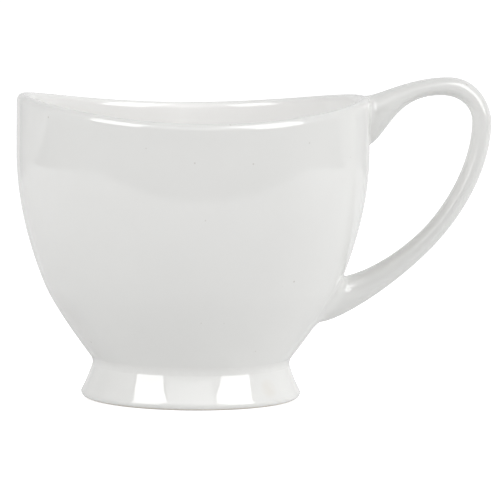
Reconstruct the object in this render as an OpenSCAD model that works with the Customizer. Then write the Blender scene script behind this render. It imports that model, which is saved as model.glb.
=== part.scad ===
// Footed porcelain cream jug with a saddle-shaped rim and a tall loop handle.
//
// The origin is the centre of the foot's resting plane, on the bowl's axis. +Z is up and +X points
// to the handle, so the raised end of the rim at -X is the end it pours from. All sizes are in mm.
//
// The jug is cast in three pieces, the bowl, the foot ring and the handle. They are stuck together
// with liquid clay, called slip, which is modelled as three thin pieces of its own.

/* [Bowl] */
// Largest outside radius of the bowl, from its belly up to the rim
belly_r = 44.2; // [43:0.1:46]
// Height at which the bowl reaches its largest radius
belly_z = 62; // [58:0.5:64]
// Outside radius of the hip, where the tight lower curve meets the long side curve
hip_r = 37.1; // [36.6:0.1:37.6]
// Height of the hip
hip_z = 28.6; // [28:0.1:29.2]
// Outward run of the wall for each mm of height at the hip
hip_slope = 0.41; // [0.39:0.01:0.45]
// Outside radius of the waist, where the bowl sits on its foot
waist_r = 24.6; // [24.2:0.1:25]
// Height of the waist
waist_z = 9.4; // [9:0.1:10]
// Outward run of the wall for each mm of height at the waist
waist_slope = 0.76; // [0.72:0.01:0.8]
// Thickness of the wall
wall = 2.8; // [2.2:0.1:3.2]
// Thickness of the floor
floor_t = 3.2; // [2.8:0.1:4]

/* [Rim] */
// Height of the rim at its lowest, at the front and the back
rim_z = 71.5; // [70.5:0.5:72.5]
// How far the pouring end and the handle end rise above that
rim_rise = 4.5; // [3.5:0.1:4.7]

/* [Foot] */
// Outside radius of the foot where it is widest
foot_r = 27.6; // [27:0.1:28.5]
// Rounding of the foot's outer lower edge
foot_round = 1.4; // [1:0.1:2]
// Inside radius of the ring that the jug stands on
foot_bore_r = 23.6; // [23:0.1:24]
// Inside radius of the foot at the waist
foot_neck_r = 20.8; // [20:0.1:21.4]

/* [Handle] */
// Width of the handle across the grip
grip_w = 7.6; // [6:0.1:9]
// Width of the handle's upper end, where it runs into the rim
upper_root_w = 9.6; // [8.6:0.2:11]
// Width of the handle's lower end, on the hip
lower_root_w = 15; // [13:0.5:17]

/* [Slip] */
// Thickness of the slip in each of the three joints
slip_t = 0.4; // [0.3:0.05:0.6]

/* [Hidden] */

porcelain = [0.93, 0.93, 0.91];
dried_slip = [0.88, 0.87, 0.84];

// Steps along each curve of the bowl's outline, and along each span of the handle
curve_steps = 10;
span_steps = 12;
// Straight strips that make up the curved top of the rim
rim_strips = 32;
// Corners round the handle's section, and rings that close each of its ends
section_sides = 24;
end_rings = 4;
// Degrees between the points of the foot's rounded edge
edge_step = 15;
// Facets round a turned piece, where it has to be faceted
$fn = 96;
// How far a cutting shape reaches past what it cuts
clear = 4;

// The handle follows two rails in the plane y = 0, one along its outside and one along its inside.
// Each rail is four cubic spans: root to crown, crown to outermost point, down to the limb, and
// from the limb to the lower root.
outer_rail = [
    [44.6, 76.2], [48.8, 77.2], [55.5, 80.8],
    [64.4, 80.8], [72.0, 80.8], [75.2, 73.4],
    [75.2, 69.5], [75.2, 58.7], [69.3, 47.1],
    [61.1, 38.3], [50.9, 27.4], [36.2, 18.5],
    [31.9, 18.9]
];
inner_rail = [
    [44.6, 63.8], [49.3, 66.8], [50.8, 76.3],
    [62.4, 76.3], [67.0, 76.3], [70.5, 73.6],
    [70.5, 69.5], [70.5, 58.9], [63.8, 47.6],
    [57.7, 41.7], [52.2, 36.4], [44.5, 31.4],
    [38.2, 30.3]
];
spans = 4;
// The upper end is wider at the top, by this share of its width, than at its lower tip
upper_root_taper = 0.3;
// How fast each end's extra width dies away along its span
flare_power = 2.5;

// ---- Curves ----

function quad(a, b, c, t) = (1 - t) ^ 2 * a + 2 * t * (1 - t) * b + t ^ 2 * c;

function quad_slope(a, b, c, t) = 2 * (1 - t) * (b - a) + 2 * t * (c - b);

function cubic(p, i, t) =
    (1 - t) ^ 3 * p[i] + 3 * t * (1 - t) ^ 2 * p[i + 1]
    + 3 * t ^ 2 * (1 - t) * p[i + 2] + t ^ 3 * p[i + 3];

// Parameter at which a quadratic curve with heights a, b, c reaches height z
function quad_t_at(a, b, c, z) =
    let (bend = a - 2 * b + c, rise = b - a)
    abs(bend) < 0.001
        ? (z - a) / (2 * rise)
        : (sqrt(rise ^ 2 + bend * (z - a)) - rise) / bend;

// ---- The bowl's outline, as [radius, height] ----

waist = [waist_r, waist_z];
hip = [hip_r, hip_z];
belly = [belly_r, belly_z];
// Each curve's middle point is where the straight lines along its two ends cross
lower_run = (waist_r + waist_slope * (hip_z - waist_z) - hip_r) / (waist_slope - hip_slope);
lower_mid = [hip_r - hip_slope * lower_run, hip_z - lower_run];
side_mid = [belly_r, hip_z + (belly_r - hip_r) / hip_slope];

// Radius of the bowl's outside at height z
function outside_r(z) =
    z >= belly_z ? belly_r :
    z >= hip_z ? quad(hip, side_mid, belly, quad_t_at(hip_z, side_mid[1], belly_z, z))[0] :
    quad(waist, lower_mid, hip, quad_t_at(waist_z, lower_mid[1], hip_z, z))[0];

// The inside is the outside moved in by the wall's thickness, square to the curve
function moved_in(point, along) = point + wall * [-along[1], along[0]] / norm(along);

function inside_of(a, b, c, t) = moved_in(quad(a, b, c, t), quad_slope(a, b, c, t));

// The inside wall starts this far along the lower curve, and a fillet of this length on the
// floor joins the two
knee_t = 0.3;
floor_fillet = 9;
floor_z = waist_z + floor_t;
knee = inside_of(waist, lower_mid, hip, knee_t);
knee_along = quad_slope(waist, lower_mid, hip, knee_t);
floor_mid = [knee[0] - knee_along[0] / knee_along[1] * (knee[1] - floor_z), floor_z];
floor_end = [floor_mid[0] - floor_fillet, floor_z];

// The walls are made this tall, and the rim's curve then cuts them down
blank_z = rim_z + rim_rise + clear;

outside_outline = concat(
    [for (i = [0 : curve_steps]) quad(waist, lower_mid, hip, i / curve_steps)],
    [for (i = [1 : curve_steps]) quad(hip, side_mid, belly, i / curve_steps)]
);
inside_outline = concat(
    [for (i = [0 : curve_steps / 2]) quad(floor_end, floor_mid, knee, 2 * i / curve_steps)],
    [for (i = [1 : curve_steps]) inside_of(waist, lower_mid, hip, knee_t + (1 - knee_t) * i / curve_steps)],
    [for (i = [1 : curve_steps]) inside_of(hip, side_mid, belly, i / curve_steps)]
);

function reversed(list) = [for (i = [len(list) - 1 : -1 : 0]) list[i]];

// ---- Bowl ----

// Height of the rim above the point x along the jug
function rim_height(x) = rim_z + rim_rise * (x / belly_r) ^ 2;

module above_rim() {
    reach = belly_r + clear;
    top = blank_z + clear;
    curve = [for (i = [0 : rim_strips]) let (x = -reach + 2 * reach * i / rim_strips) [x, rim_height(x)]];
    rotate([90, 0, 0])
        linear_extrude(height = 2 * reach, center = true)
            polygon(concat(curve, [[reach, top], [-reach, top]]));
}

module bowl() {
    color(porcelain)
        difference() {
            rotate_extrude()
                polygon(concat(
                    [[0, waist_z]],
                    outside_outline,
                    [[belly_r, blank_z], [belly_r - wall, blank_z]],
                    reversed(inside_outline),
                    [[0, floor_z]]
                ));
            above_rim();
        }
}

// ---- Foot ----

foot_top_z = waist_z - slip_t;
// The middle point of the flare's curve lies this far inside the straight line from waist to edge
flare_bow = 0.5;
// The bore leans in by this much over this height, from the ring that the jug stands on
bore_lean = 0.5;
bore_lean_h = 0.6;

module foot_ring() {
    widest = [foot_r, foot_round];
    neck = [waist_r, foot_top_z];
    flare_mid = (widest + neck) / 2 - [flare_bow, 0];
    flare = [for (i = [0 : curve_steps]) quad(neck, flare_mid, widest, i / curve_steps)];
    edge = [for (a = [edge_step : edge_step : 90])
        [foot_r - foot_round * (1 - cos(a)), foot_round * (1 - sin(a))]];
    inner_edge = [foot_bore_r, 0];
    inner_flare = [foot_bore_r - bore_lean, bore_lean_h];
    color(porcelain)
        rotate_extrude()
            polygon(concat(flare, edge, [inner_edge, inner_flare, [foot_neck_r, foot_top_z]]));
}

// ---- Handle ----

// Half of the width by which an end flares, t being 0 at that end and 1 at the far end of its span
function flare(extra, t) = extra / 2 * (1 - t) ^ flare_power;

// Half-width of the handle at a point t along span i
function half_width(i, t) =
    grip_w / 2
    + (i == 0 ? flare(upper_root_w - grip_w, t) : 0)
    + (i == spans - 1 ? flare(lower_root_w - grip_w, 1 - t) : 0);

// Share by which the section is wider at its outer side than at its inner side
function section_taper(i, t) = i == 0 ? upper_root_taper * (1 - t) : 0;

// One ring of the handle as [x, y, z] points, shrunk towards its middle by the factor size
function section(i, t, size = 1) =
    let (
        outer = cubic(outer_rail, 3 * i, t),
        inner = cubic(inner_rail, 3 * i, t),
        middle = (outer + inner) / 2,
        half = (outer - inner) / 2 * size,
        w = half_width(i, t) * size,
        taper = section_taper(i, t)
    )
    [for (k = [0 : section_sides - 1])
        let (
            a = 360 * k / section_sides,
            in_plane = middle + half * cos(a)
        )
        [in_plane[0], w * sin(a) * (1 + taper * cos(a)), in_plane[1]]];

// The same ring laid on the bowl's outside, raised off it by gap
function laid_on_bowl(ring, gap) =
    [for (p = ring) [sqrt((outside_r(p[2]) + gap) ^ 2 - p[1] ^ 2), p[1], p[2]]];

// The rings that close one end of the handle, from the middle of the joint to its edge
function root_rings(i, t, gap) =
    [for (r = [1 : end_rings]) laid_on_bowl(section(i, t, r / end_rings), gap)];

// A closed solid through a list of rings that all have the same number of points
module skin(rings) {
    sides = len(rings[0]);
    last = len(rings) - 1;
    middle = function (ring) [for (axis = [0 : 2]) [for (p = ring) p[axis]] * [for (p = ring) 1 / sides]];
    points = concat([for (ring = rings) each ring], [middle(rings[0]), middle(rings[last])]);
    start_point = len(points) - 2;
    end_point = len(points) - 1;
    walls = [for (r = [0 : last - 1]) for (k = [0 : sides - 1])
        let (next = (k + 1) % sides, a = r * sides, b = a + sides)
        each [[a + k, a + next, b + next], [a + k, b + next, b + k]]];
    start_cap = [for (k = [0 : sides - 1]) [(k + 1) % sides, k, start_point]];
    end_cap = [for (k = [0 : sides - 1]) [last * sides + k, last * sides + (k + 1) % sides, end_point]];
    polyhedron(points = points, faces = concat(walls, start_cap, end_cap));
}

module handle() {
    upper_end = root_rings(0, 0, slip_t);
    lower_end = root_rings(spans - 1, 1, slip_t);
    length_rings = [for (i = [0 : spans - 1]) for (s = [0 : span_steps - 1])
        if (i + s > 0) section(i, s / span_steps)];
    color(porcelain)
        skin(concat(upper_end, length_rings, reversed(lower_end)));
}

// ---- Slip joints ----

module foot_slip() {
    color(dried_slip)
        translate([0, 0, foot_top_z])
            difference() {
                cylinder(h = slip_t, r = waist_r);
                translate([0, 0, -clear])
                    cylinder(h = slip_t + 2 * clear, r = foot_neck_r);
            }
}

// A pad of slip between the bowl's wall and one end of the handle
module handle_pad(i, t) {
    on_bowl = root_rings(i, t, 0);
    on_handle = root_rings(i, t, slip_t);
    color(dried_slip)
        skin(concat(on_bowl, reversed(on_handle)));
}

module upper_handle_slip() {
    handle_pad(0, 0);
}

module lower_handle_slip() {
    handle_pad(spans - 1, 1);
}

bowl();
foot_ring();
handle();
foot_slip();
upper_handle_slip();
lower_handle_slip();
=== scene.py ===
"""Porcelain cream jug: the visual model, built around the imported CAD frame.

Lengths in the shape functions are in millimetres, in the CAD frame, and every mesh is written in
metres. The bowl's axis is Z, the handle is at +X and the pouring end at -X.
"""

import math

import bpy
import numpy as np
from mathutils import Matrix, Vector


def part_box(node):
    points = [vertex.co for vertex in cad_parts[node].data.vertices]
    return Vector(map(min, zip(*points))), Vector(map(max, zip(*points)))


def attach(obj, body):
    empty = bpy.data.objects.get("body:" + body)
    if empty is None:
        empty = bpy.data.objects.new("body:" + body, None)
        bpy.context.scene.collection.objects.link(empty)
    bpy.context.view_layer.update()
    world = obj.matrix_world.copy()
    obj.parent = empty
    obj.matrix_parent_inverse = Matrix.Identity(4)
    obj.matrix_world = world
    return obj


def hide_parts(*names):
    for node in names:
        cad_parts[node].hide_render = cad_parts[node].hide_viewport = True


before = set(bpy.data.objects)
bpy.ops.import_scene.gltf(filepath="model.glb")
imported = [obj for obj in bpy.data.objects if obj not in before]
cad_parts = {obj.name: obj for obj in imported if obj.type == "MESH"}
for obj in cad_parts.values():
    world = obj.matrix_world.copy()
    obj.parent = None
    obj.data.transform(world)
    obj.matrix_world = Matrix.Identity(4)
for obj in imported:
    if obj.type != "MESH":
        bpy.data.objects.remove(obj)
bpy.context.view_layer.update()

MM = 0.001

# ---------------------------------------------------------------------------------------------
# Sizes: the outer ones come from the CAD nodes, and the rest follow part.scad
# ---------------------------------------------------------------------------------------------

bowl_low, bowl_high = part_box("bowl")
foot_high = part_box("foot_ring")[1]

BELLY_R = bowl_high[0] / MM
WAIST_Z = bowl_low[2] / MM
FOOT_R = foot_high[0] / MM
FOOT_TOP_Z = foot_high[2] / MM
SLIP_T = WAIST_Z - FOOT_TOP_Z

BELLY_Z = 62.0
HIP = (37.1, 28.6)
HIP_SLOPE = 0.41
WAIST_R = 24.6
WAIST_SLOPE = 0.76
WALL = 2.8
FLOOR_T = 3.2
FLOOR_Z = WAIST_Z + FLOOR_T
RIM_Z = 71.5
RIM_RISE = 4.5

FOOT_ROUND = 1.4
FOOT_BORE_R = 23.6
FOOT_NECK_R = 20.8

# The rounded lip: how far below its crown it runs out into the wall
LIP_DROP = 1.75
LIP_MID_R = BELLY_R - WALL / 2

# The handle's two rails in the plane y = 0, as in part.scad
OUTER_RAIL = np.array([
    [44.6, 76.2], [48.8, 77.2], [55.5, 80.8],
    [64.4, 80.8], [72.0, 80.8], [75.2, 73.4],
    [75.2, 69.5], [75.2, 58.7], [69.3, 47.1],
    [61.1, 38.3], [50.9, 27.4], [36.2, 18.5],
    [31.9, 18.9],
])
INNER_RAIL = np.array([
    [44.6, 63.8], [49.3, 66.8], [50.8, 76.3],
    [62.4, 76.3], [67.0, 76.3], [70.5, 73.6],
    [70.5, 69.5], [70.5, 58.9], [63.8, 47.6],
    [57.7, 41.7], [52.2, 36.4], [44.5, 31.4],
    [38.2, 30.3],
])
SPANS = 4
GRIP_HALF_W = 3.8
UPPER_ROOT_HALF_W = 4.8
# 0.1 mm less than in part.scad, because the fillet widens it
LOWER_ROOT_HALF_W = 7.4

# Mesh fineness
AROUND = 288
SECTION_SIDES = 96
SPAN_STEPS = 30
FILLET_STEPS = 14

# ---------------------------------------------------------------------------------------------
# Curves
# ---------------------------------------------------------------------------------------------


def quad(a, b, c, t):
    """Points of a quadratic curve at the parameters t."""
    t = np.asarray(t, float)[..., None]
    a, b, c = (np.asarray(p, float) for p in (a, b, c))
    return (1 - t) ** 2 * a + 2 * t * (1 - t) * b + t ** 2 * c


def quad_slope(a, b, c, t):
    """Directions of the same curve there."""
    t = np.asarray(t, float)[..., None]
    a, b, c = (np.asarray(p, float) for p in (a, b, c))
    return 2 * (1 - t) * (b - a) + 2 * t * (c - b)


def cubic(p, t):
    """Point of the cubic curve with the four control points p."""
    back = 1 - t
    return back ** 3 * p[0] + 3 * t * back ** 2 * p[1] + 3 * t ** 2 * back * p[2] + t ** 3 * p[3]


def hermite(a, b, along_a, along_b, v):
    """Point at v on the curve that leaves a along along_a and reaches b along along_b."""
    h00 = 2 * v ** 3 - 3 * v ** 2 + 1
    h10 = v ** 3 - 2 * v ** 2 + v
    h01 = -2 * v ** 3 + 3 * v ** 2
    h11 = v ** 3 - v ** 2
    return h00 * a + h10 * along_a + h01 * b + h11 * along_b


def smooth(low, high, x):
    """0 below low, 1 above high, and an S-curve between."""
    t = np.clip((x - low) / (high - low), 0, 1)
    return t * t * (3 - 2 * t)


# ---------------------------------------------------------------------------------------------
# The bowl's outline
# ---------------------------------------------------------------------------------------------

waist = (WAIST_R, WAIST_Z)
belly = (BELLY_R, BELLY_Z)
lower_run = (WAIST_R + WAIST_SLOPE * (HIP[1] - WAIST_Z) - HIP[0]) / (WAIST_SLOPE - HIP_SLOPE)
lower_mid = (HIP[0] - HIP_SLOPE * lower_run, HIP[1] - lower_run)
side_mid = (BELLY_R, HIP[1] + (BELLY_R - HIP[0]) / HIP_SLOPE)

LOWER_CURVE = quad(waist, lower_mid, HIP, np.linspace(0, 1, 41))
SIDE_CURVE = quad(HIP, side_mid, belly, np.linspace(0, 1, 49))
OUTSIDE = np.vstack([LOWER_CURVE, SIDE_CURVE[1:]])


def outside_r(z):
    """Radius of the bowl's outside at height z."""
    return np.interp(z, OUTSIDE[:, 1], OUTSIDE[:, 0])


def inside_curve():
    """The inside's outline, from the floor's edge up to the belly, one wall's thickness in."""
    def moved_in(a, b, c, t):
        along = quad_slope(a, b, c, t)
        along /= np.linalg.norm(along, axis=-1, keepdims=True)
        return quad(a, b, c, t) + WALL * np.stack([-along[..., 1], along[..., 0]], -1)

    knee_t = 0.3
    floor_fillet = 9.0
    lower = moved_in(waist, lower_mid, HIP, np.linspace(knee_t, 1, 26))
    side = moved_in(HIP, side_mid, belly, np.linspace(0, 1, 37))
    knee = lower[0]
    along = quad_slope(waist, lower_mid, HIP, knee_t)
    floor_mid = np.array([knee[0] - along[0] / along[1] * (knee[1] - FLOOR_Z), FLOOR_Z])
    floor_end = floor_mid - np.array([floor_fillet, 0])
    fillet = quad(floor_end, floor_mid, knee, np.linspace(0, 1, 17))
    return np.vstack([fillet, lower[1:], side[1:]])


def rim_height(theta):
    """Height of the rim's crown at the angle theta round the bowl."""
    return RIM_Z + RIM_RISE * np.cos(theta) ** 2


# ---------------------------------------------------------------------------------------------
# Meshes
# ---------------------------------------------------------------------------------------------


def add_piece(name, points, faces):
    """A smooth-shaded mesh object from points in millimetres."""
    mesh = bpy.data.meshes.new(name)
    mesh.from_pydata([tuple(p) for p in np.asarray(points) * MM], [], faces)
    mesh.update()
    mesh.shade_smooth()
    obj = bpy.data.objects.new(name, mesh)
    bpy.context.scene.collection.objects.link(obj)
    return obj


def ring_faces(rows, cols, first=0):
    """Quads between closed rings of cols points, stored row after row."""
    faces = []
    for r in range(rows - 1):
        for k in range(cols):
            n = (k + 1) % cols
            a = first + r * cols
            b = a + cols
            faces.append((a + k, a + n, b + n, b + k))
    return faces


def add_skin(name, rings, start_point, end_point):
    """A closed piece through rings of points, with a fan of triangles at each end."""
    rings = np.asarray(rings)
    rows, cols = rings.shape[:2]
    points = np.vstack([rings.reshape(-1, 3), [start_point], [end_point]])
    start_i = rows * cols
    end_i = start_i + 1
    last = (rows - 1) * cols
    faces = ring_faces(rows, cols)
    faces += [((k + 1) % cols, k, start_i) for k in range(cols)]
    faces += [(last + k, last + (k + 1) % cols, end_i) for k in range(cols)]
    return add_piece(name, points, faces)


def sharpen(obj, ring, cols):
    """Breaks the smooth shading along one ring of obj, which has cols points to a ring."""
    first = ring * cols
    for edge in obj.data.edges:
        if all(first <= i < first + cols for i in edge.vertices):
            edge.use_edge_sharp = True


THETA = np.arange(AROUND) * 2 * math.pi / AROUND


def turned_ring(radius, height):
    """A ring round the Z axis. radius and height are numbers, or one value for each angle."""
    radius = np.broadcast_to(radius, AROUND)
    height = np.broadcast_to(height, AROUND)
    return np.stack([radius * np.cos(THETA), radius * np.sin(THETA), height], -1)


def add_turned_ring(name, outline):
    """A closed ring-shaped piece: outline is a closed loop of (radius, height) points."""
    rings = np.array([turned_ring(r, z) for r, z in outline])
    rows = len(rings)
    faces = ring_faces(rows, AROUND)
    last = (rows - 1) * AROUND
    faces += [(last + k, last + (k + 1) % AROUND, (k + 1) % AROUND, k) for k in range(AROUND)]
    return add_piece(name, rings.reshape(-1, 3), faces)


# ---- Bowl ----

# The underside is domed a little inside the foot: the dome's height and its radius
DOME = 0.5
DOME_R = 20.5
UNDERSIDE_RINGS = (4, 8, 12, 16, 19, DOME_R, 22, 23.4)
WALL_RINGS = 8
LIP_RINGS = 24
FLOOR_RINGS = (12, 9, 6, 3)
# The inside's painted light and shade come in between these two of the lip's rings
INSIDE_BEGINS = 8
INSIDE_FULL = 20


def mark_inside(obj, ring_values):
    """Stores on each ring of obj how far it belongs to the inside of the bowl, from 0 to 1."""
    mask = obj.data.attributes.new("inside", "FLOAT", "POINT")
    values = np.append(np.repeat(ring_values, AROUND), [ring_values[0], ring_values[-1]])
    mask.data.foreach_set("value", values)


def make_bowl():
    crown = rim_height(THETA)
    shoulder = crown - LIP_DROP
    rings = []
    # Underside
    for r in UNDERSIDE_RINGS:
        rings.append(turned_ring(r, WAIST_Z + DOME * max(0.0, 1 - (r / DOME_R) ** 2)))
    # Outside, up to the belly and then up to where the lip begins, which follows the rim
    for r, z in OUTSIDE:
        rings.append(turned_ring(r, z))
    for s in np.linspace(0, 1, WALL_RINGS + 1)[1:]:
        rings.append(turned_ring(BELLY_R, BELLY_Z + s * (shoulder - BELLY_Z)))
    outside_rings = len(rings)
    # The rounded lip, from the outside over the crown to the inside
    for a in np.linspace(0, math.pi, LIP_RINGS + 1)[1:]:
        rings.append(turned_ring(LIP_MID_R + WALL / 2 * math.cos(a), shoulder + LIP_DROP * math.sin(a)))
    # Inside, down to the floor
    for s in np.linspace(1, 0, WALL_RINGS + 1)[1:]:
        rings.append(turned_ring(BELLY_R - WALL, BELLY_Z + s * (shoulder - BELLY_Z)))
    inside = inside_curve()
    for r, z in inside[-2::-1]:
        rings.append(turned_ring(r, z))
    for r in FLOOR_RINGS:
        rings.append(turned_ring(r, FLOOR_Z))
    shell = add_skin("bowl_shell", rings, (0, 0, WAIST_Z + DOME), (0, 0, FLOOR_Z))
    begins, full = outside_rings + INSIDE_BEGINS, outside_rings + INSIDE_FULL
    mark_inside(shell, smooth(begins, full, np.arange(len(rings))))
    return shell


# ---- Foot ----

# How far the flare bows in
FLARE_BOW = 0.5
# How far up and down from the crease its bead of slip reaches
CREASE_FILLET = 1.1
# Radius of the ground ring's inner edge, which is rubbed round
GROUND_EDGE = 0.5


def foot_flare():
    """The foot's outside from the waist to its widest point."""
    neck = np.array([WAIST_R, FOOT_TOP_Z])
    widest = np.array([FOOT_R, FOOT_ROUND])
    middle = (neck + widest) / 2 - np.array([FLARE_BOW, 0])
    return quad(neck, middle, widest, np.linspace(0, 1, 17))


def make_foot():
    outline = list(foot_flare())
    for a in np.linspace(0, math.pi / 2, 13)[1:]:
        outline.append((FOOT_R - FOOT_ROUND * (1 - math.cos(a)), FOOT_ROUND * (1 - math.sin(a))))
    # The ground ring it stands on: two rings keep its middle flat, and its inner edge is rubbed round
    flat_from, flat_to = 0.8, 0.4
    edge = GROUND_EDGE
    outline.append((FOOT_R - FOOT_ROUND - flat_from, 0.0))
    outline.append((FOOT_BORE_R + edge + flat_to, 0.0))
    for a in np.linspace(0, math.pi / 2, 7):
        outline.append((FOOT_BORE_R + edge - edge * math.sin(a), edge - edge * math.cos(a)))
    # The hollow side, up to the waist
    low, high = (FOOT_BORE_R, edge), (FOOT_NECK_R, FOOT_TOP_Z)
    hollow_mid = (FOOT_BORE_R - 0.6, 5.0)
    outline += list(quad(low, hollow_mid, high, np.linspace(0, 1, 15)[1:]))
    outline.append(((FOOT_NECK_R + WAIST_R) / 2, FOOT_TOP_Z))
    return add_turned_ring("foot_casting", outline[::-1])


def make_foot_slip():
    """The slip between bowl and foot, with the bead that was smoothed into the crease outside."""
    # The bead's edges are sunk this far, and its curve is drawn towards a point inside the crease
    sunk = 0.03
    inside_crease = 0.05
    flare = foot_flare()
    low_z = FOOT_TOP_Z - CREASE_FILLET
    low = np.array([np.interp(-low_z, -flare[:, 1], flare[:, 0]) - sunk, low_z])
    high_z = WAIST_Z + CREASE_FILLET
    high = np.array([outside_r(high_z) - sunk, high_z])
    crease = np.array([WAIST_R - inside_crease, (FOOT_TOP_Z + WAIST_Z) / 2])
    bead = list(quad(low, crease, high, np.linspace(0, 1, 15)))
    # The flat layer between the two castings: in along its top, and out again along its underside
    layer_r = (WAIST_R - 0.1, FOOT_NECK_R + 1, FOOT_NECK_R)
    layer = [(r, WAIST_Z) for r in layer_r] + [(r, FOOT_TOP_Z) for r in reversed(layer_r)]
    slip = add_turned_ring("foot_joint_slip", bead + layer)
    sharpen(slip, 0, AROUND)
    sharpen(slip, len(bead) - 1, AROUND)
    return slip


# ---- Handle ----

# How suddenly the handle widens into its roots
ROOT_SWELL = 2.5
# How much the upper root is wider above its middle than below it
ROOT_TAPER = 0.3


def half_width(u):
    """Half-width of the handle at u, which runs from 0 at the upper root to SPANS at the lower one."""
    upper = (UPPER_ROOT_HALF_W - GRIP_HALF_W) * max(0.0, 1 - u) ** ROOT_SWELL
    lower = (LOWER_ROOT_HALF_W - GRIP_HALF_W) * max(0.0, u - (SPANS - 1)) ** ROOT_SWELL
    return GRIP_HALF_W + upper + lower


SECTION_ANGLE = np.arange(SECTION_SIDES) * 2 * math.pi / SECTION_SIDES
# Sharpness of the oval section: 2 is an ellipse, more is boxier
SECTION_POWER = 2.15


def rounded(values):
    """Turns a circle's cosine or sine into that of the handle's slightly boxy oval."""
    return np.sign(values) * np.abs(values) ** (2 / SECTION_POWER)


def section(u):
    """One ring of the handle, as points round its oval section."""
    i = min(int(u), SPANS - 1)
    t = u - i
    outer = cubic(OUTER_RAIL[3 * i:3 * i + 4], t)
    inner = cubic(INNER_RAIL[3 * i:3 * i + 4], t)
    middle, half = (outer + inner) / 2, (outer - inner) / 2
    up = rounded(np.cos(SECTION_ANGLE))
    side = rounded(np.sin(SECTION_ANGLE))
    taper = ROOT_TAPER * max(0.0, 1 - u)
    return np.stack([
        middle[0] + half[0] * up,
        half_width(u) * side * (1 + taper * up),
        middle[1] + half[1] * up,
    ], -1)


# Length of the lip's curve from its crown down to the wall
LIP_ARC = 2.48


def on_upper_wall(across, down, lift=0.0):
    """Point of the bowl near the rim: across along the wall, and down from the crown, over the lip."""
    theta = across / BELLY_R
    down = np.maximum(down, 0)
    crown = rim_height(theta)
    on_lip = np.minimum(down / LIP_ARC, 1)
    a = math.pi / 2 * (1 - on_lip)
    radius = LIP_MID_R + (WALL / 2 + lift) * np.cos(a)
    height = crown - LIP_DROP + (LIP_DROP + lift) * np.sin(a) - np.maximum(down - LIP_ARC, 0)
    return np.stack([radius * np.cos(theta), radius * np.sin(theta), height], -1)


def on_hip(across, down, lift=0.0):
    """Point of the bowl's lower side: across along the wall, and down from the height of the belly."""
    height = BELLY_Z - down
    radius = outside_r(height) + lift
    theta = across / radius
    return np.stack([radius * np.cos(theta), radius * np.sin(theta), height], -1)


def root_outline(ring, wall_down):
    """The handle's end ring laid flat on the wall, as (across, down) points, and its middle.

    wall_down turns the ring's heights into distances down the wall.
    """
    flat = np.stack([ring[:, 1], wall_down(ring[:, 2])], -1)
    return flat, flat.mean(0)


def outwards(flat, centre):
    """Directions square to a flat ring, away from its middle."""
    along = np.roll(flat, -1, 0) - np.roll(flat, 1, 0)
    out = np.stack([-along[:, 1], along[:, 0]], -1)
    out /= np.linalg.norm(out, axis=-1, keepdims=True)
    return out * np.sign(((flat - centre) * out).sum(-1, keepdims=True))


def bent_section(u_values):
    """A ring of the handle whose points each have a u of their own."""
    return np.array([section(u)[k] for k, u in enumerate(u_values)])


def fillet_rings(u_values, step, ring, wall_point, wall_down, spread, ease):
    """Rings from the handle at u_values down onto the wall, smooth with both.

    step is a small change of u towards the wall, used to find the handle's own direction there.
    The last ring is sunk a little, so that its edge doesn't show, and spread is how far it lies
    outside the root's own outline.
    """
    sunk = -0.02
    nearby = 0.05
    start = bent_section(u_values)
    along = bent_section(u_values + step) - start
    along /= np.linalg.norm(along, axis=-1, keepdims=True)
    flat, centre = root_outline(ring, wall_down)
    out = outwards(flat, centre)
    edge = flat + out * spread[:, None]
    beyond = edge + out * nearby
    end = wall_point(edge[:, 0], edge[:, 1], sunk)
    away = wall_point(beyond[:, 0], beyond[:, 1], sunk) - end
    away /= np.linalg.norm(away, axis=-1, keepdims=True)
    gap = np.linalg.norm(end - start, axis=-1, keepdims=True)
    # The rings crowd together towards the wall, where the fillet has to run out without a line
    steps = 1 - (1 - np.linspace(0, 1, FILLET_STEPS + 1)[1:]) ** 2
    return [hermite(start, end, along * gap, away * gap * ease, v) for v in steps]


def layers_on_wall(ring, wall_point, wall_down, layers):
    """The root's outline repeated on the wall: one ring for each (share of its size, lift)."""
    flat, centre = root_outline(ring, wall_down)
    rings = []
    for size, lift in layers:
        at = centre + (flat - centre) * size
        rings.append(wall_point(at[:, 0], at[:, 1], lift))
    return rings, centre


def cap_rings(ring, wall_point, wall_down):
    """Rings that close a root on the wall, over the pad of slip, and their middle point."""
    layers = ((0.92, 0.0), (0.88, SLIP_T), (0.6, SLIP_T), (0.3, SLIP_T))
    rings, centre = layers_on_wall(ring, wall_point, wall_down, layers)
    return rings, wall_point(centre[0], centre[1], SLIP_T)


def upper_down(height):
    """Distance down the wall from the rim's crown for a height of the upper root."""
    root_top, root_foot = OUTER_RAIL[0, 1], INNER_RAIL[0, 1]
    top_down = 1.0
    foot_down = RIM_Z + RIM_RISE - root_foot + LIP_ARC - LIP_DROP
    return top_down + (root_top - height) / (root_top - root_foot) * (foot_down - top_down)


def lower_down(height):
    """Distance down from the belly for a height of the lower root."""
    return BELLY_Z - height


# Each root: its ring of the handle, and its way onto the wall
UPPER_ROOT = (section(0.0), on_upper_wall, upper_down)
LOWER_ROOT = (section(float(SPANS)), on_hip, lower_down)

# Round a section: 1 at its top, -1 at its underside, and 1 at both its sides
UP = np.cos(SECTION_ANGLE)
SIDE = np.abs(np.sin(SECTION_ANGLE))
# The upper root is drawn out wide along the rim, and is tight everywhere else
ALONG_RIM = smooth(-0.2, 0.6, UP) * SIDE ** 2
# How far each root's fillet spreads over the wall, in mm
UPPER_SPREAD = 0.35 + 0.5 * UP ** 2 + 5.5 * ALONG_RIM
LOWER_SPREAD = 0.6 + 6.9 * SIDE ** 2
# Where along the handle each fillet begins
UPPER_START = 0.03 + 0.05 * ALONG_RIM
LOWER_START = SPANS - 0.05 - 0.06 * SIDE
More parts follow.
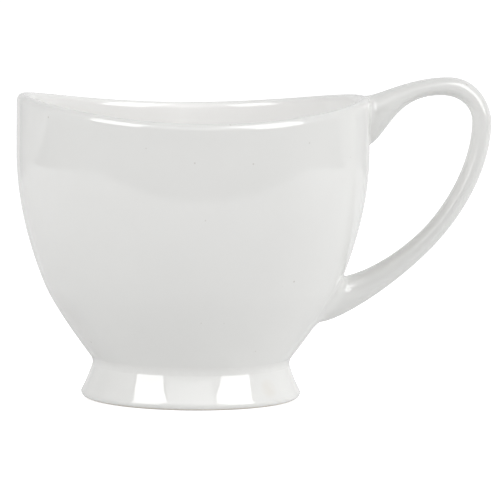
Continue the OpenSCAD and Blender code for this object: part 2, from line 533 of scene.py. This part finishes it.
# How strongly each fillet hugs the wall where it runs out
UPPER_EASE = 0.9
LOWER_EASE = 1.0
# A small step along the handle
STEP = 0.01


def make_handle():
    upper_cap, upper_end = cap_rings(*UPPER_ROOT)
    lower_cap, lower_end = cap_rings(*LOWER_ROOT)
    upper = fillet_rings(UPPER_START, -STEP, *UPPER_ROOT, UPPER_SPREAD, UPPER_EASE)
    lower = fillet_rings(LOWER_START, STEP, *LOWER_ROOT, LOWER_SPREAD, LOWER_EASE)
    grip = [bent_section(u) for u in np.linspace(UPPER_START, LOWER_START, SPANS * SPAN_STEPS)]
    rings = upper_cap[::-1] + upper[::-1] + grip + lower + lower_cap
    handle = add_skin("handle_casting", rings, upper_end, lower_end)
    sharpen(handle, len(upper_cap), SECTION_SIDES)
    sharpen(handle, len(rings) - 1 - len(lower_cap), SECTION_SIDES)
    return handle


def make_pad(name, ring, wall_point, wall_down):
    """The pad of slip between one root and the wall, just clear of both."""
    clear = 0.02
    low, high = clear, SLIP_T - clear
    sizes = (0.3, 0.6, 0.87)
    layers = [(size, low) for size in sizes] + [(size, high) for size in reversed(sizes)]
    rings, centre = layers_on_wall(ring, wall_point, wall_down, layers)
    start = wall_point(centre[0], centre[1], low)
    end = wall_point(centre[0], centre[1], high)
    return add_skin(name, rings, start, end)


# ---------------------------------------------------------------------------------------------
# Materials
# ---------------------------------------------------------------------------------------------

# The clay through clear glaze: where the glaze is thin, and where it lies thicker
WHITE = (0.80, 0.80, 0.785)
POOLED = (0.785, 0.785, 0.77)
# The inside's colour at the pouring end, in the middle and at the handle, and how far out it changes:
# painted light whitens its middle, and painted shade darkens it towards both ends
INSIDE_PAINTED_LIGHT_AND_SHADE = ((0.82, 0.816, 0.805), (0.975, 0.97, 0.958), (0.87, 0.866, 0.855))
INSIDE_REACH = 34.0
# Painted shade makes the handle a little greyer than the bowl, and painted light makes the foot a little
# whiter
HANDLE_PAINTED_SHADE = 0.97
FOOT_PAINTED_LIGHT = 1.02
# Dried slip, in its finer and its coarser grain
SLIP_FINE = (0.785, 0.783, 0.767)
SLIP_COARSE = (0.797, 0.796, 0.781)
# Iron specks: how strongly they show, how many cells there are to a metre, a speck's size in its
# cell, and the share of the cells that have none
SPECK = (0.33, 0.29, 0.24)
SPECK_STRENGTH = 0.4
SPECK_CELLS = 350.0
SPECK_SIZE = (0.05, 0.11)
SPECKLESS = (0.92, 0.93)
# The stain on the foot, with its middle and its radius
STAIN = (0.70, 0.64, 0.56)
STAIN_AT = (16.9, -17.9, 3.7)
STAIN_R = 3.4
# Bare clay under the foot, in two grains, and the heights between which the glaze stops
BARE_CLAY = (0.70, 0.65, 0.58)
BARE_CLAY_PALE = (0.78, 0.74, 0.67)
GLAZE_LINE = (0.25, 0.5)

# Roughness of each glaze, from its clearest to its most smudged, and what bare clay adds to it
BOWL_ROUGH = (0.015, 0.045)
HANDLE_ROUGH = (0.10, 0.17)
SLIP_ROUGH = (0.02, 0.05)
BARE_ROUGH = 0.55
GLAZE_IOR = 1.6
# How closely the glaze's ripples follow one another, and how deep they and its orange peel are
RIPPLES = 130.0
FOOT_RIPPLES = 300.0
RIPPLE_DEPTH = 0.05
PEEL_DEPTH = 0.02


class Nodes:
    """A short way to write the node tree of a material or of the world."""

    def __init__(self, owner):
        owner.use_nodes = True
        self.owner = owner
        self.tree = owner.node_tree
        self.tree.nodes.clear()

    def add(self, kind, inputs=None, **settings):
        """A node. Each of its inputs is given as a plain value or as another node's socket."""
        node = self.tree.nodes.new(kind)
        for key, value in settings.items():
            setattr(node, key, value)
        for key, value in (inputs or {}).items():
            socket = node.inputs[key]
            if isinstance(value, bpy.types.NodeSocket):
                self.tree.links.new(value, socket)
            else:
                socket.default_value = value
        return node

    def place(self):
        """Coordinates fixed to the object, in metres."""
        return self.add("ShaderNodeTexCoord").outputs["Object"]

    def math(self, operation, *values):
        """The result of one sum."""
        return self.add("ShaderNodeMath", dict(enumerate(values)), operation=operation).outputs[0]

    def noise(self, place, scale, detail, roughness=0.5):
        """Cloudy noise, from 0 to 1."""
        inputs = {"Vector": place, "Scale": scale, "Detail": detail, "Roughness": roughness}
        return self.add("ShaderNodeTexNoise", inputs).outputs["Fac"]

    def remap(self, value, low, high, to_low=0.0, to_high=1.0, **settings):
        """value, rescaled so that low gives to_low and high gives to_high, and held beyond them."""
        inputs = {"Value": value, "From Min": low, "From Max": high, "To Min": to_low, "To Max": to_high}
        return self.add("ShaderNodeMapRange", inputs, **settings).outputs["Result"]

    def ramp(self, factor, stops):
        """A colour ramp from (position, grey or colour) stops."""
        node = self.add("ShaderNodeValToRGB", {"Fac": factor})
        elements = node.color_ramp.elements
        while len(elements) < len(stops):
            elements.new(0.5)
        for element, (position, value) in zip(elements, stops):
            colour = (value, value, value) if isinstance(value, (int, float)) else value
            element.position = position
            element.color = (*colour, 1)
        return node.outputs["Color"]

    def blend(self, factor, a, b):
        """The colour a where factor is 0 and b where it is 1. Either may be a colour or a socket."""
        a, b = (c if isinstance(c, bpy.types.NodeSocket) else (*c, 1) for c in (a, b))
        return self.add("ShaderNodeMix", {"Factor": factor, 6: a, 7: b}, data_type="RGBA").outputs[2]

    def finish(self, shader_inputs):
        """The finished material, from the inputs of its shader."""
        shader = self.add("ShaderNodeBsdfPrincipled", shader_inputs)
        self.add("ShaderNodeOutputMaterial", {"Surface": shader.outputs["BSDF"]})
        return self.owner


def new_material(name):
    return Nodes(bpy.data.materials.new(name))


def with_specks(n, place, colour):
    """colour, with rare dark specks of iron fired into it."""
    cells = n.add("ShaderNodeTexVoronoi", {"Vector": place, "Scale": SPECK_CELLS, "Randomness": 1.0})
    spot = n.ramp(cells.outputs["Distance"], list(zip(SPECK_SIZE, (1.0, 0.0))))
    chance = n.add("ShaderNodeSeparateColor", {"Color": cells.outputs["Color"]}).outputs["Red"]
    chosen = n.ramp(chance, list(zip(SPECKLESS, (0.0, SPECK_STRENGTH))))
    return n.blend(n.math("MULTIPLY", spot, chosen), colour, SPECK)


def stain_mask(n, place):
    """A soft-edged spot on the foot, torn by noise."""
    middle = [c * MM for c in STAIN_AT]
    away = n.add("ShaderNodeVectorMath", {0: place, 1: middle}, operation="DISTANCE").outputs["Value"]
    near = n.remap(away, 0.0, STAIN_R * MM, 1.0, 0.0)
    return n.math("MULTIPLY", near, n.noise(place, scale=420.0, detail=3.0))


def glaze_surface(n, place, rough, ripples=RIPPLES):
    """Shader inputs for the glaze's gloss: a slow ripple, orange peel and faint smudges."""
    ripple = n.noise(place, scale=ripples, detail=1.0)
    peel = n.noise(place, scale=900.0, detail=2.0)
    smudge = n.noise(place, scale=55.0, detail=5.0, roughness=0.6)
    slow = n.add("ShaderNodeBump", {"Height": ripple, "Strength": 1.0, "Distance": RIPPLE_DEPTH * MM})
    fine = n.add("ShaderNodeBump", {"Height": peel, "Strength": 0.1, "Distance": PEEL_DEPTH * MM,
                                    "Normal": slow.outputs["Normal"]})
    return {
        "Roughness": n.remap(smudge, 0.35, 0.75, *rough),
        "Normal": fine.outputs["Normal"],
        "IOR": GLAZE_IOR,
    }


def porcelain_colour(n, place, shade=1.0):
    """White clay seen through clear glaze, clouded where the glaze lies thicker."""
    # shade scales both colours: below 1 it paints shade, above 1 it paints light
    pooled, white = ([c * shade for c in colour] for colour in (POOLED, WHITE))
    cloud = n.ramp(n.noise(place, scale=38.0, detail=3.0), [(0.35, pooled), (0.65, white)])
    return with_specks(n, place, cloud)


def bowl_glaze():
    """The bowl's glaze, with painted light inside that is whitest in the middle and painted shade that
    darkens it towards both ends.
    """
    n = new_material("bowl_glaze")
    place = n.place()
    x = n.add("ShaderNodeSeparateXYZ", {0: place}).outputs["X"]
    along = n.remap(x, -INSIDE_REACH * MM, INSIDE_REACH * MM)
    # Painted light whitens the inside's middle, and painted shade darkens it towards the pouring end and
    # the handle
    inside = n.ramp(along, list(zip((0.0, 0.5, 1.0), INSIDE_PAINTED_LIGHT_AND_SHADE)))
    mask = n.add("ShaderNodeAttribute", attribute_name="inside").outputs["Fac"]
    colour = n.blend(mask, porcelain_colour(n, place), inside)
    return n.finish({"Base Color": colour, **glaze_surface(n, place, BOWL_ROUGH)})


def handle_glaze():
    """The handle's glaze, greyed a little by painted shade, and dulled a little by hands."""
    n = new_material("handle_glaze")
    place = n.place()
    # Painted shade greys the handle's clay a little
    colour = porcelain_colour(n, place, HANDLE_PAINTED_SHADE)
    return n.finish({"Base Color": colour, **glaze_surface(n, place, HANDLE_ROUGH)})


def foot_glaze():
    """The foot's glaze, whitened a little by painted light, with a faint stain on one side and a bare
    ground ring below.
    """
    n = new_material("foot_glaze")
    place = n.place()
    # Painted light whitens the foot's clay a little
    stained = n.blend(stain_mask(n, place), porcelain_colour(n, place, FOOT_PAINTED_LIGHT), STAIN)
    grit = n.noise(place, scale=1500.0, detail=4.0)
    clay = n.ramp(grit, [(0.3, BARE_CLAY), (0.7, BARE_CLAY_PALE)])
    height = n.add("ShaderNodeSeparateXYZ", {0: place}).outputs["Z"]
    bare = n.remap(height, GLAZE_LINE[0] * MM, GLAZE_LINE[1] * MM, 1.0, 0.0)
    inputs = glaze_surface(n, place, BOWL_ROUGH, FOOT_RIPPLES)
    inputs["Base Color"] = n.blend(bare, stained, clay)
    inputs["Roughness"] = n.math("MULTIPLY_ADD", bare, BARE_ROUGH, inputs["Roughness"])
    return n.finish(inputs)


def slip_under_glaze():
    """Dried slip: the same clay, a little warmer and grainier, under a thin run of glaze."""
    n = new_material("slip_under_glaze")
    place = n.place()
    grain = n.noise(place, scale=700.0, detail=4.0)
    colour = with_specks(n, place, n.ramp(grain, [(0.35, SLIP_FINE), (0.65, SLIP_COARSE)]))
    return n.finish({"Base Color": colour, **glaze_surface(n, place, SLIP_ROUGH)})


# ---------------------------------------------------------------------------------------------
# The object
# ---------------------------------------------------------------------------------------------

slip = slip_under_glaze()
PIECES = (
    (make_bowl(), "bowl", "glazed_porcelain", bowl_glaze()),
    (make_foot(), "foot_ring", "glazed_foot", foot_glaze()),
    (make_handle(), "handle", "glazed_handle", handle_glaze()),
    (make_foot_slip(), "foot_slip", "fired_slip", slip),
    (make_pad("upper_joint_slip", *UPPER_ROOT), "upper_handle_slip", "fired_slip", slip),
    (make_pad("lower_joint_slip", *LOWER_ROOT), "lower_handle_slip", "fired_slip", slip),
)

for piece, node, slot, material in PIECES:
    piece.data.materials.append(material)
    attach(piece, "root")
    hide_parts(node)

# ---------------------------------------------------------------------------------------------
# Stage: floor, light and camera, in metres and degrees
# ---------------------------------------------------------------------------------------------

# The world's light on the clay, and what it gains towards the right, left, front and back
ROOM = 0.04
TENT_SIDES = (("X", 1, 1.9), ("X", -1, 0.85), ("Y", -1, 0.08), ("Y", 1, 0.06))

# Soft lights that the glaze doesn't mirror: name, (azimuth, elevation, distance), size, brightness
SOFT_LIGHTS = (
    ("left_key", (-50, 32, 0.9), (0.66, 0.8), 1.9),
    ("right_key", (50, 32, 0.9), (0.66, 0.8), 0.75),
)

# Cards that only the glaze mirrors, in the same way
REFLECTION_CARDS = (
    ("left_card", (-54.5, 29, 0.9), (0.52, 0.65), 5.0),
    ("right_card", (51, 38, 0.9), (0.58, 1.05), 4.8),
    ("front_card", (-5, 40, 1.3), (1.05, 0.6), 1.2),
)

# The table's left, right, near and far edges, and the rest of the room as the glaze mirrors it
TABLE_X = (-0.49, 0.56)
TABLE_Y = (-0.2, 0.42)
# To the table's right, the room's floor is mirrored only as far back as this
RIGHT_FLOOR_END = 0.22
ROOM_REACH = 4.0
MIRRORED_ROOM = 0.25
MIRRORED_FLOOR = 0.14
MIRRORED_TABLE = 0.8
# Near the jug the mirrored table has this share of its brightness, which returns between these
# distances from the axis
TABLE_SHADE = 0.85
TABLE_SHADE_REACH = (0.035, 0.16)
# What only the glaze mirrors lies just over the floor
MIRRORED_FLOOR_Z = 0.0003
MIRRORED_TABLE_Z = 0.0002

# Cards that stand at the table's far edge: name, across, distance back, height and brightness
BACKDROP_CARDS = (
    ("backdrop_card", (TABLE_X[0], 1.0), TABLE_Y[1], 0.9, 0.55),
    ("backdrop_middle", (-0.2, 0.28), 0.415, 0.4, 0.77),
)

# The real floor: its far edge, its own faint glow, and how much brighter the camera sees it
FLOOR_FAR = 6.0
FLOOR_GLOW = 0.06
FLOOR_LIFT = 0.6

# Lights and cards are aimed at this height on the jug's axis
AIM_Z = 0.04

# How far the camera stands round to the left, how far it looks down, and its roll
CAMERA_TURN = 5.16
CAMERA_TILT = 5.72
CAMERA_ROLL = 0.68
# It looks at a point this far to the right of the jug's axis, at this height
CAMERA_AIM_RIGHT = 0.01454
CAMERA_AIM_Z = 0.03713
CAMERA_DISTANCE = 1.0
CAMERA_LENS = 286.6

WHITE_LIGHT = (1, 1, 1, 1)


def four_cornered(name, corners):
    """A flat object with four corners, not yet in the scene."""
    mesh = bpy.data.meshes.new(name)
    mesh.from_pydata(corners, [], [(0, 1, 2, 3)])
    return bpy.data.objects.new(name, mesh)


def level_patch(name, across, back, height):
    """A level rectangle: across is its left and right ends, and back its near and far ones."""
    (x0, x1), (y0, y1) = across, back
    obj = four_cornered(name, [(x0, y0, height), (x1, y0, height), (x1, y1, height), (x0, y1, height)])
    bpy.context.scene.collection.objects.link(obj)
    return obj


def floor_material():
    """A white table that lights the jug a little from below.

    To the camera it is lifted further, as an overexposed studio sweep is.
    """
    n = new_material("pale_floor")
    seen = n.add("ShaderNodeLightPath").outputs["Is Camera Ray"]
    return n.finish({
        "Base Color": (0.7, 0.7, 0.7, 1),
        "Roughness": 0.6,
        "Specular IOR Level": 0.2,
        "Emission Color": WHITE_LIGHT,
        "Emission Strength": n.math("MULTIPLY_ADD", seen, FLOOR_LIFT, FLOOR_GLOW),
    })


def make_floor():
    floor = level_patch("floor", (-ROOM_REACH, ROOM_REACH), (-ROOM_REACH, FLOOR_FAR), 0.0)
    floor.data.materials.append(floor_material())


def place_facing(obj, azimuth, elevation, distance):
    """Puts obj round the jug, with its local +Z away from it. Azimuth 0 is straight in front."""
    a, e = math.radians(azimuth), math.radians(elevation)
    towards = Vector((math.sin(a) * math.cos(e), -math.cos(a) * math.cos(e), math.sin(e)))
    obj.location = Vector((0, 0, AIM_Z)) + towards * distance
    obj.rotation_mode = "QUATERNION"
    obj.rotation_quaternion = towards.to_track_quat("Z", "Y")
    bpy.context.scene.collection.objects.link(obj)


def soft_light(name, place, size, brightness):
    """A rectangular soft light that lights the jug but isn't mirrored in its glaze."""
    width, height = size
    data = bpy.data.lights.new(name, "AREA")
    data.shape = "RECTANGLE"
    data.size, data.size_y = width, height
    data.energy = brightness * math.pi * width * height
    obj = bpy.data.objects.new(name, data)
    place_facing(obj, *place)
    obj.visible_glossy = False


def only_mirrored(obj, brightness):
    """Makes obj a glowing shape that is never seen or felt except as a reflection in the glaze.

    brightness is a number, or a function that makes it from a node tree.
    """
    n = new_material(obj.name + "_glow")
    strength = brightness(n) if callable(brightness) else brightness
    glow = n.add("ShaderNodeEmission", {"Color": WHITE_LIGHT, "Strength": strength})
    n.add("ShaderNodeOutputMaterial", {"Surface": glow.outputs["Emission"]})
    obj.data.materials.append(n.owner)
    obj.visible_camera = False
    obj.visible_diffuse = False
    obj.visible_shadow = False
    obj.visible_transmission = False


def reflection_card(name, place, size, brightness):
    x, y = size[0] / 2, size[1] / 2
    card = four_cornered(name, [(-x, -y, 0), (x, -y, 0), (x, y, 0), (-x, y, 0)])
    place_facing(card, *place)
    only_mirrored(card, brightness)


def backdrop_card(name, across, y, height, brightness):
    x0, x1 = across
    card = four_cornered(name, [(x0, y, 0), (x1, y, 0), (x1, y, height), (x0, y, height)])
    bpy.context.scene.collection.objects.link(card)
    only_mirrored(card, brightness)


def mirrored_room_floor():
    """The room's own floor round the table, as the glaze mirrors it."""
    left, right = TABLE_X
    near, far = TABLE_Y
    for name, across, back in (
        ("near_room_floor", (-ROOM_REACH, ROOM_REACH), (-ROOM_REACH, near)),
        ("left_room_floor", (-ROOM_REACH, left), (near, far)),
        ("right_room_floor", (right, ROOM_REACH), (near, RIGHT_FLOOR_END)),
    ):
        only_mirrored(level_patch(name, across, back, MIRRORED_FLOOR_Z), MIRRORED_FLOOR)


def mirrored_table():
    """The table as the glaze mirrors it: bright, and darker where the jug shades it."""
    def shaded(n):
        away = n.add("ShaderNodeVectorMath", {0: n.place()}, operation="LENGTH").outputs["Value"]
        shade = MIRRORED_TABLE * TABLE_SHADE
        return n.remap(away, *TABLE_SHADE_REACH, shade, MIRRORED_TABLE, interpolation_type="SMOOTHSTEP")

    only_mirrored(level_patch("mirrored_table", TABLE_X, TABLE_Y, MIRRORED_TABLE_Z), shaded)


def make_world():
    """White to the camera, a light tent for the clay, and a dim room in the glaze's reflections."""
    world = bpy.data.worlds.new("studio")
    bpy.context.scene.world = world
    n = Nodes(world)
    ray = n.add("ShaderNodeLightPath").outputs
    direction = n.add("ShaderNodeSeparateXYZ", {0: n.add("ShaderNodeTexCoord").outputs["Generated"]})

    def background(brightness):
        return n.add("ShaderNodeBackground", {"Color": WHITE_LIGHT, "Strength": brightness}).outputs[0]

    def choose(switch, without, with_it):
        return n.add("ShaderNodeMixShader", {0: switch, 1: without, 2: with_it}).outputs[0]

    tent = ROOM
    for axis, sign, gain in TENT_SIDES:
        lobe = n.math("MAXIMUM", n.math("MULTIPLY", direction.outputs[axis], sign), 0.0)
        tent = n.math("ADD", n.math("MULTIPLY", lobe, gain), tent)
    light = choose(ray["Is Glossy Ray"], background(tent), background(MIRRORED_ROOM))
    n.add("ShaderNodeOutputWorld", {"Surface": choose(ray["Is Camera Ray"], light, background(1.0))})


def make_camera():
    """A long lens, a little above the jug and a little to the left of it."""
    turn, tilt, roll = (math.radians(angle) for angle in (CAMERA_TURN, CAMERA_TILT, CAMERA_ROLL))
    forward = Vector((math.sin(turn) * math.cos(tilt), math.cos(turn) * math.cos(tilt), -math.sin(tilt)))
    right = Vector((math.cos(turn), -math.sin(turn), 0))
    target = right * CAMERA_AIM_RIGHT + Vector((0, 0, CAMERA_AIM_Z))
    data = bpy.data.cameras.new("camera")
    data.sensor_width = 36
    data.lens = CAMERA_LENS
    data.clip_start, data.clip_end = 0.05, 30
    obj = bpy.data.objects.new("camera", data)
    obj.location = target - forward * CAMERA_DISTANCE
    obj.rotation_mode = "QUATERNION"
    up = Vector((0, 0, 1))
    up = (up - forward * up.dot(forward)).normalized()
    side = forward.cross(up)
    rolled_up = up * math.cos(roll) - side * math.sin(roll)
    rolled_side = forward.cross(rolled_up)
    obj.rotation_quaternion = Matrix((rolled_side, rolled_up, -forward)).transposed().to_quaternion()
    bpy.context.scene.collection.objects.link(obj)
    bpy.context.scene.camera = obj


make_world()
make_floor()
mirrored_room_floor()
mirrored_table()
for light_values in SOFT_LIGHTS:
    soft_light(*light_values)
for card_values in REFLECTION_CARDS:
    reflection_card(*card_values)
for card_values in BACKDROP_CARDS:
    backdrop_card(*card_values)
make_camera()
bpy.context.scene.view_settings.view_transform = "Standard"
